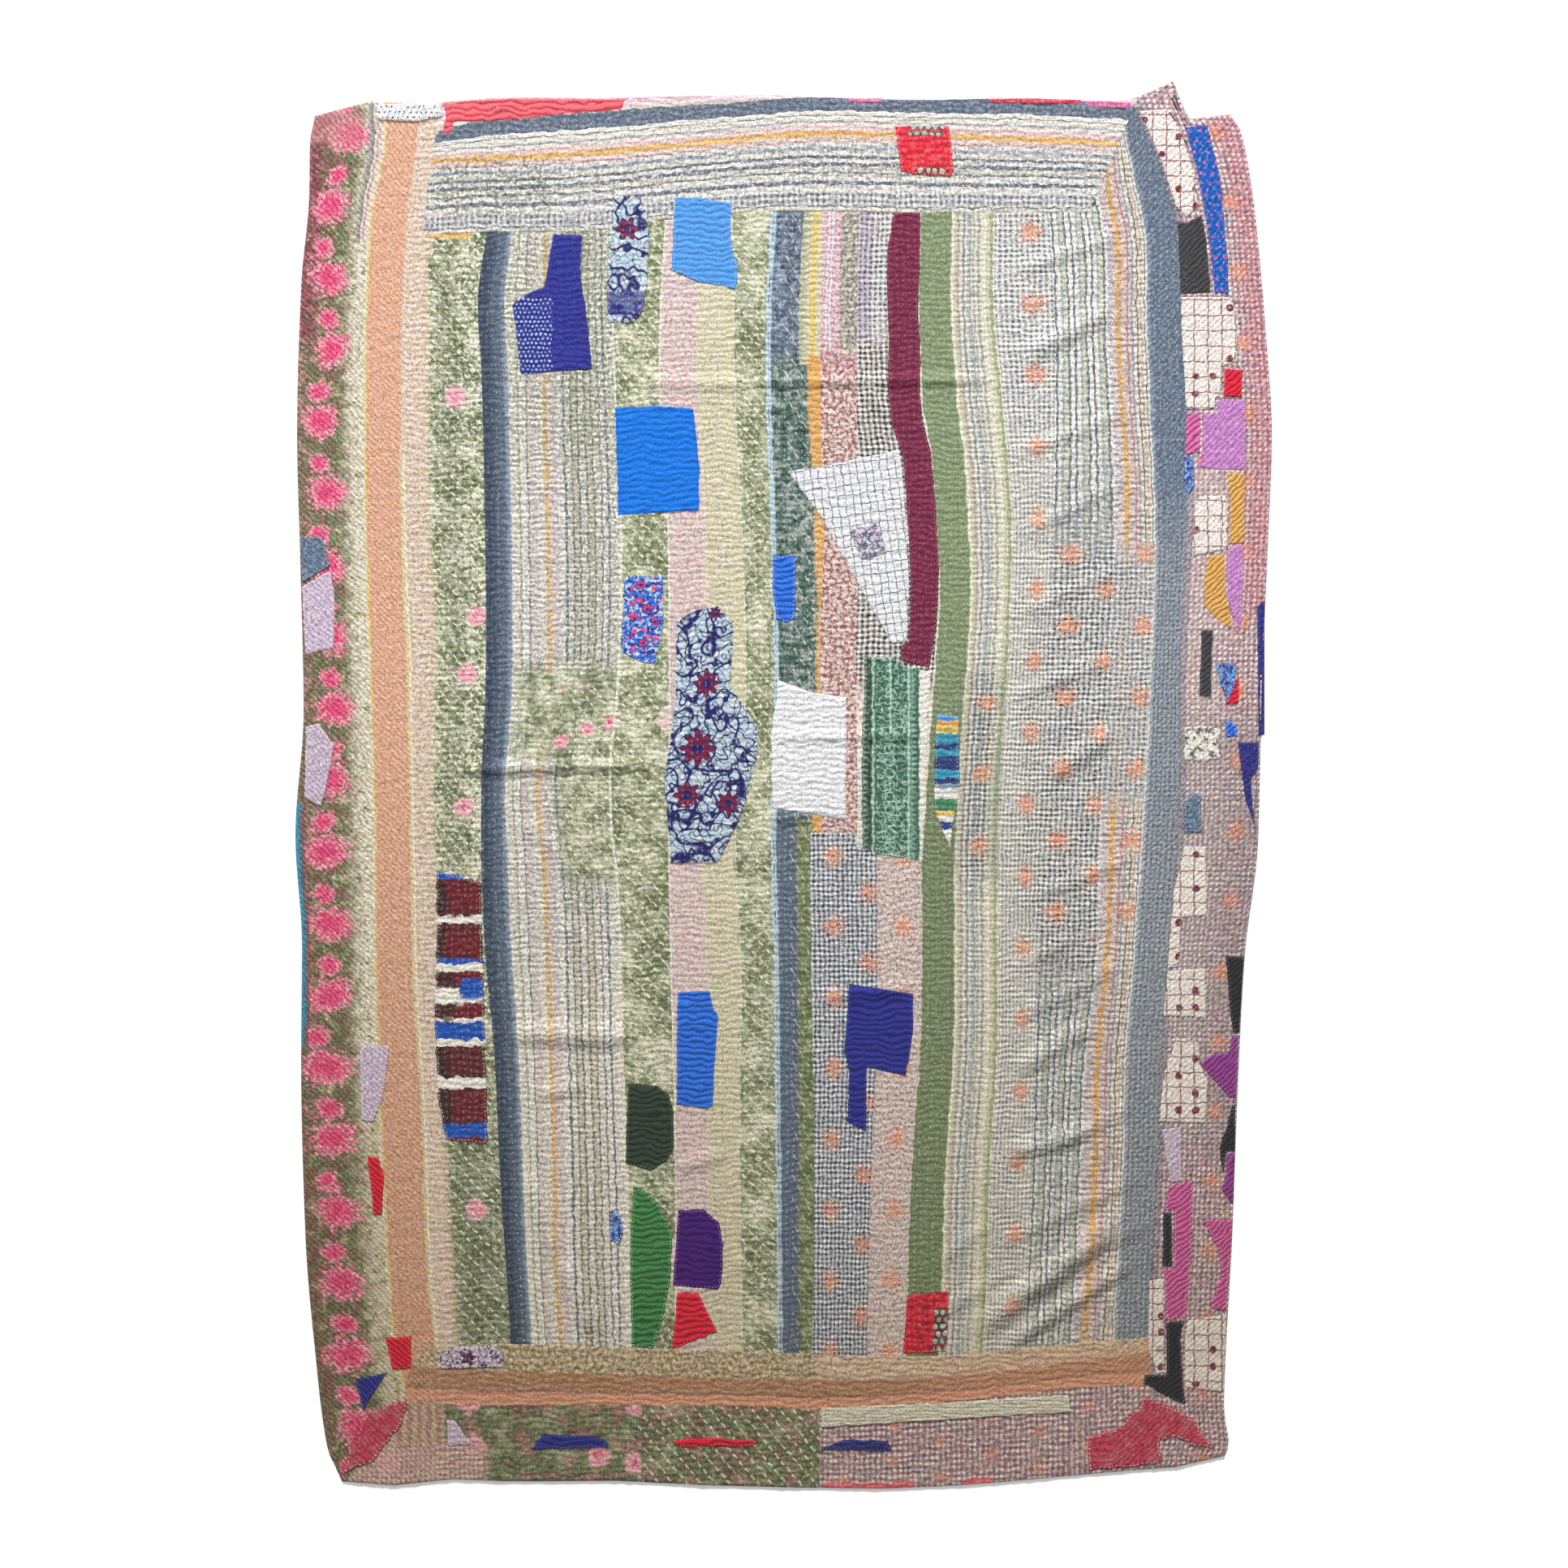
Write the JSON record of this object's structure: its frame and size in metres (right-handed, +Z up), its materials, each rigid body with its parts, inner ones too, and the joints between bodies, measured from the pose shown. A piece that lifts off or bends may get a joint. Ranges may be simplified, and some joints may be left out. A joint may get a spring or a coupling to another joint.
{
  "type": "kantha quilt",
  "caption": "Kantha quilt of worn cotton cloths with hand quilted puckers and sewn-on patches, lying flat with slight folds and a drawn-out corner.",
  "frame": {"origin": "on the surface the quilt lies on, under the middle of its outline", "axes": "+Y towards the head end, +X to the right seen from above, +Z up"},
  "size_m": [1.4436, 2.0817, 0.0138],
  "materials": {
    "quilted_cotton": "matt, softly worn woven cotton",
    "navy_cotton": "matt, softly worn woven cotton",
    "blue_cotton": "matt, softly worn woven cotton",
    "printed_cotton": "matt, softly worn woven cotton",
    "white_cotton": "matt, softly worn woven cotton",
    "maroon_cotton": "matt, softly worn woven cotton",
    "red_cotton": "matt, softly worn woven cotton",
    "green_cotton": "matt, softly worn woven cotton",
    "purple_cotton": "matt, softly worn woven cotton",
    "lilac_cotton": "matt, softly worn woven cotton",
    "mustard_cotton": "matt, softly worn woven cotton",
    "pink_cotton": "matt, softly worn woven cotton",
    "black_cotton": "matt, softly worn woven cotton"
  },
  "bodies": {
    "root": {"quilt_body": "quilted_cotton", "patch_navy_angle": "navy_cotton", "patch_blossom_strip": "printed_cotton", "patch_sky": "blue_cotton", "patch_bright_blue": "blue_cotton", "patch_small_flowers": "printed_cotton", "patch_pale_flowers": "printed_cotton", "patch_blue_slip": "blue_cotton", "patch_white_wedge": "white_cotton", "patch_maroon_strip": "maroon_cotton", "patch_red_blossom": "red_cotton", "patch_white_seersucker": "white_cotton", "patch_green_band": "green_cotton", "patch_bright_strip": "printed_cotton", "patch_blue_tab": "blue_cotton", "patch_navy_hook": "navy_cotton", "patch_dark_green": "green_cotton", "patch_green_leaf": "green_cotton", "patch_purple": "purple_cotton", "patch_red_wedge": "red_cotton", "patch_bar_stack": "maroon_cotton", "patch_red_square": "red_cotton", "patch_lilac_upper": "lilac_cotton", "patch_coral_band": "red_cotton", "patch_grey": "black_cotton", "patch_blue_band": "blue_cotton", "patch_orchid": "lilac_cotton", "patch_mustard": "mustard_cotton", "patch_pink_strip": "pink_cotton", "patch_black_foot": "black_cotton"}
  },
  "joints": []
}
